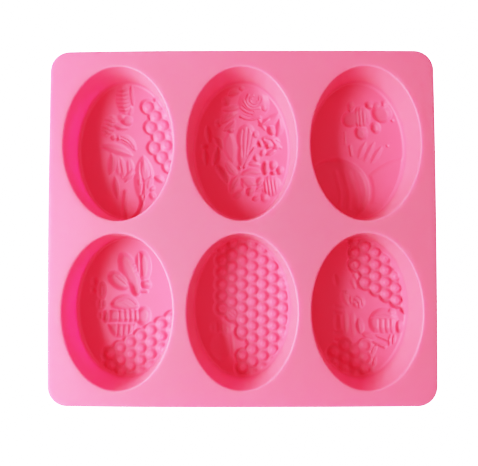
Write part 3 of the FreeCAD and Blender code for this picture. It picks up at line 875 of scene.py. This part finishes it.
def silicone_material():
    """Satin, slightly translucent pink silicone, through which red light travels furthest and green least;
    the cup floors and the foot of their walls get a darker, more violet pink as painted shade.
    """
    material = bpy.data.materials.new("pink_silicone")
    material.use_nodes = True
    nodes = material.node_tree.nodes
    links = material.node_tree.links
    surface = nodes["Principled BSDF"]
    place = nodes.new("ShaderNodeTexCoord")

    cloud = nodes.new("ShaderNodeTexNoise")
    cloud.inputs["Scale"].default_value = CLOUD_SCALE
    cloud.inputs["Detail"].default_value = CLOUD_DETAIL
    links.new(place.outputs["Object"], cloud.inputs["Vector"])
    tint = nodes.new("ShaderNodeMix")
    tint.data_type = "RGBA"
    tint.inputs["A"].default_value = PINK
    tint.inputs["B"].default_value = PALE_PINK
    links.new(cloud.outputs["Fac"], tint.inputs["Factor"])
    # Painted shade: the firmness attribute also mixes the floors, and the walls near them, towards the shaded
    # floor pink
    firmness_and_floor_shade = nodes.new("ShaderNodeAttribute")
    firmness_and_floor_shade.attribute_name = "firmness_and_floor_shade"
    floor_shade_share = nodes.new("ShaderNodeMapRange")
    floor_shade_share.inputs["From Max"].default_value = FLOOR_FIRMNESS_AND_SHADE
    links.new(firmness_and_floor_shade.outputs["Fac"], floor_shade_share.inputs["Value"])
    shade = nodes.new("ShaderNodeMix")
    shade.data_type = "RGBA"
    shade.inputs["B"].default_value = SHADED_FLOOR_PINK
    links.new(floor_shade_share.outputs["Result"], shade.inputs["Factor"])
    links.new(tint.outputs["Result"], shade.inputs["A"])
    links.new(shade.outputs["Result"], surface.inputs["Base Color"])

    grain = nodes.new("ShaderNodeTexNoise")
    grain.inputs["Scale"].default_value = GRAIN_SCALE
    grain.inputs["Detail"].default_value = GRAIN_DETAIL
    grain.inputs["Roughness"].default_value = GRAIN_ROUGHNESS
    links.new(place.outputs["Object"], grain.inputs["Vector"])
    sheen = nodes.new("ShaderNodeMapRange")
    sheen.inputs["To Min"].default_value = SMOOTHEST
    sheen.inputs["To Max"].default_value = ROUGHEST
    links.new(grain.outputs["Fac"], sheen.inputs["Value"])
    links.new(sheen.outputs["Result"], surface.inputs["Roughness"])
    bump = nodes.new("ShaderNodeBump")
    bump.inputs["Strength"].default_value = GRAIN_STRENGTH
    bump.inputs["Distance"].default_value = GRAIN_HEIGHT
    links.new(grain.outputs["Fac"], bump.inputs["Height"])
    links.new(bump.outputs["Normal"], surface.inputs["Normal"])

    surface.inputs["IOR"].default_value = REFRACTION
    inside = nodes.new("ShaderNodeMapRange")
    inside.inputs["To Min"].default_value = 1.0
    inside.inputs["To Max"].default_value = 0.0
    links.new(firmness_and_floor_shade.outputs["Fac"], inside.inputs["Value"])
    links.new(inside.outputs["Result"], surface.inputs["Subsurface Weight"])
    surface.inputs["Subsurface Radius"].default_value = LIGHT_REACH
    surface.inputs["Subsurface Scale"].default_value = LIGHT_REACH_SCALE
    return material


# --- stage, light and camera --------------------------------------------------------------------------

# The stage and the backdrop glow only for the camera, so they look white and light nothing
STAGE_REACH = 4.0
STAGE_WHITE = (0.92, 0.92, 0.92, 1.0)
STAGE_ROUGHNESS = 0.9
STAGE_GLOW = 0.0
STAGE_GLOW_SEEN = 7.0
FILL_COLOUR = (1.0, 0.26, 0.34, 1.0)
FILL_STRENGTH = 0.65

# One large window to the left
KEY_PLACE = (-0.51, -0.085, 0.415)
KEY_TARGET = (0.0, 0.0, 0.01)
KEY_SIZE = 0.38
KEY_POWER = 13.9
KEY_COLOUR = (0.99, 0.99, 1.04)

# The camera looks almost straight down; its three turns are in radians
LENS_LENGTH = 38.42
SENSOR_WIDTH = 36.0
NEAREST_SEEN = 0.01
FARTHEST_SEEN = 20.0
CAMERA_PLACE = (-0.00005, -0.01205, 0.30298)
CAMERA_SPIN = -0.0017
CAMERA_TIP = 0.0317
CAMERA_ROLL = 0.0053

# How a print answers to light: (gain, power) for red, green and blue, over light from 0 to CURVE_REACH
RESPONSES = ((1.40, 0.80), (0.78, 1.075), (0.90, 1.115))
CURVE_REACH = 8.0
CURVE_STEPS = 24


def stage_material():
    """White paper that the camera sees as evenly lit."""
    material = bpy.data.materials.new("white_stage")
    material.use_nodes = True
    nodes = material.node_tree.nodes
    links = material.node_tree.links
    surface = nodes["Principled BSDF"]
    surface.inputs["Base Color"].default_value = STAGE_WHITE
    surface.inputs["Roughness"].default_value = STAGE_ROUGHNESS
    surface.inputs["Emission Color"].default_value = (1.0, 1.0, 1.0, 1.0)
    seen = nodes.new("ShaderNodeLightPath")
    glow = nodes.new("ShaderNodeMapRange")
    glow.inputs["To Min"].default_value = STAGE_GLOW
    glow.inputs["To Max"].default_value = STAGE_GLOW_SEEN
    links.new(seen.outputs["Is Camera Ray"], glow.inputs["Value"])
    links.new(glow.outputs["Result"], surface.inputs["Emission Strength"])
    return material


def stage():
    """The white paper that the mould stands on."""
    mesh = bpy.data.meshes.new("stage_floor")
    corners = [(STAGE_REACH * x, STAGE_REACH * y, 0) for x, y in ((-1, -1), (1, -1), (1, 1), (-1, 1))]
    mesh.from_pydata(corners, [], [(0, 1, 2, 3)])
    floor = bpy.data.objects.new("stage_floor", mesh)
    bpy.context.scene.collection.objects.link(floor)
    floor.data.materials.append(stage_material())


def key_window():
    """The window: one soft square light, turned to its target."""
    light = bpy.data.lights.new("key_window", "AREA")
    light.shape = "RECTANGLE"
    light.size = KEY_SIZE
    light.size_y = KEY_SIZE
    light.energy = KEY_POWER
    light.color = KEY_COLOUR
    lamp = bpy.data.objects.new("key_window", light)
    bpy.context.scene.collection.objects.link(lamp)
    lamp.location = KEY_PLACE
    lamp.rotation_euler = (Vector(KEY_TARGET) - Vector(KEY_PLACE)).to_track_quat("-Z", "Y").to_euler()


def world():
    """Rosy fill light from all round, seen by the camera as plain white."""
    scene_world = bpy.data.worlds.new("studio")
    bpy.context.scene.world = scene_world
    scene_world.use_nodes = True
    nodes = scene_world.node_tree.nodes
    links = scene_world.node_tree.links
    fill = nodes["Background"]
    fill.inputs["Color"].default_value = FILL_COLOUR
    fill.inputs["Strength"].default_value = FILL_STRENGTH
    backdrop = nodes.new("ShaderNodeBackground")
    backdrop.inputs["Strength"].default_value = STAGE_GLOW_SEEN
    seen = nodes.new("ShaderNodeLightPath")
    choose = nodes.new("ShaderNodeMixShader")
    links.new(seen.outputs["Is Camera Ray"], choose.inputs[0])
    links.new(fill.outputs["Background"], choose.inputs[1])
    links.new(backdrop.outputs["Background"], choose.inputs[2])
    links.new(choose.outputs["Shader"], nodes["World Output"].inputs["Surface"])


def camera():
    """The view from above."""
    lens = bpy.data.cameras.new("camera")
    lens.lens = LENS_LENGTH
    lens.sensor_width = SENSOR_WIDTH
    lens.clip_start = NEAREST_SEEN
    lens.clip_end = FARTHEST_SEEN
    view = bpy.data.objects.new("camera", lens)
    bpy.context.scene.collection.objects.link(view)
    spin = Matrix.Rotation(CAMERA_SPIN, 4, "Z")
    tip = Matrix.Rotation(CAMERA_TIP, 4, "X")
    roll = Matrix.Rotation(CAMERA_ROLL, 4, "Y")
    view.matrix_world = Matrix.Translation(CAMERA_PLACE) @ (spin @ tip @ roll)
    bpy.context.scene.camera = view


def print_curve():
    """A photographic print's response: a long shoulder, and a toe that differs for each colour."""
    settings = bpy.context.scene.view_settings
    settings.view_transform = "Standard"
    settings.use_curve_mapping = True
    mapping = settings.curve_mapping
    mapping.use_clip = True
    mapping.clip_max_x = CURVE_REACH
    mapping.clip_max_y = CURVE_REACH
    combined = mapping.curves[3]
    combined.points[-1].location = (CURVE_REACH, CURVE_REACH)
    for curve, (gain, power) in zip(mapping.curves, RESPONSES):
        curve.points[-1].location = (CURVE_REACH, 1 - math.exp(-(gain * CURVE_REACH) ** power))
        for step in range(1, CURVE_STEPS):
            x = CURVE_REACH * (step / CURVE_STEPS) ** 2
            curve.points.new(x, 1 - math.exp(-(gain * x) ** power))
    mapping.update()


# --- the scene ----------------------------------------------------------------------------------------

silicone = silicone_material()
skin = shell()
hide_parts("deck_sheet", *["cavity_cup_" + place for place in PLACES])
pieces = [skin]
for place in PLACES:
    plate = floor_plate(place, PICTURES[place])
    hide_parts("relief_floor_" + place)
    pieces.append(plate)
for piece in pieces:
    piece.data.materials.append(silicone)
    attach(piece, "root")

stage()
world()
key_window()
camera()
print_curve()
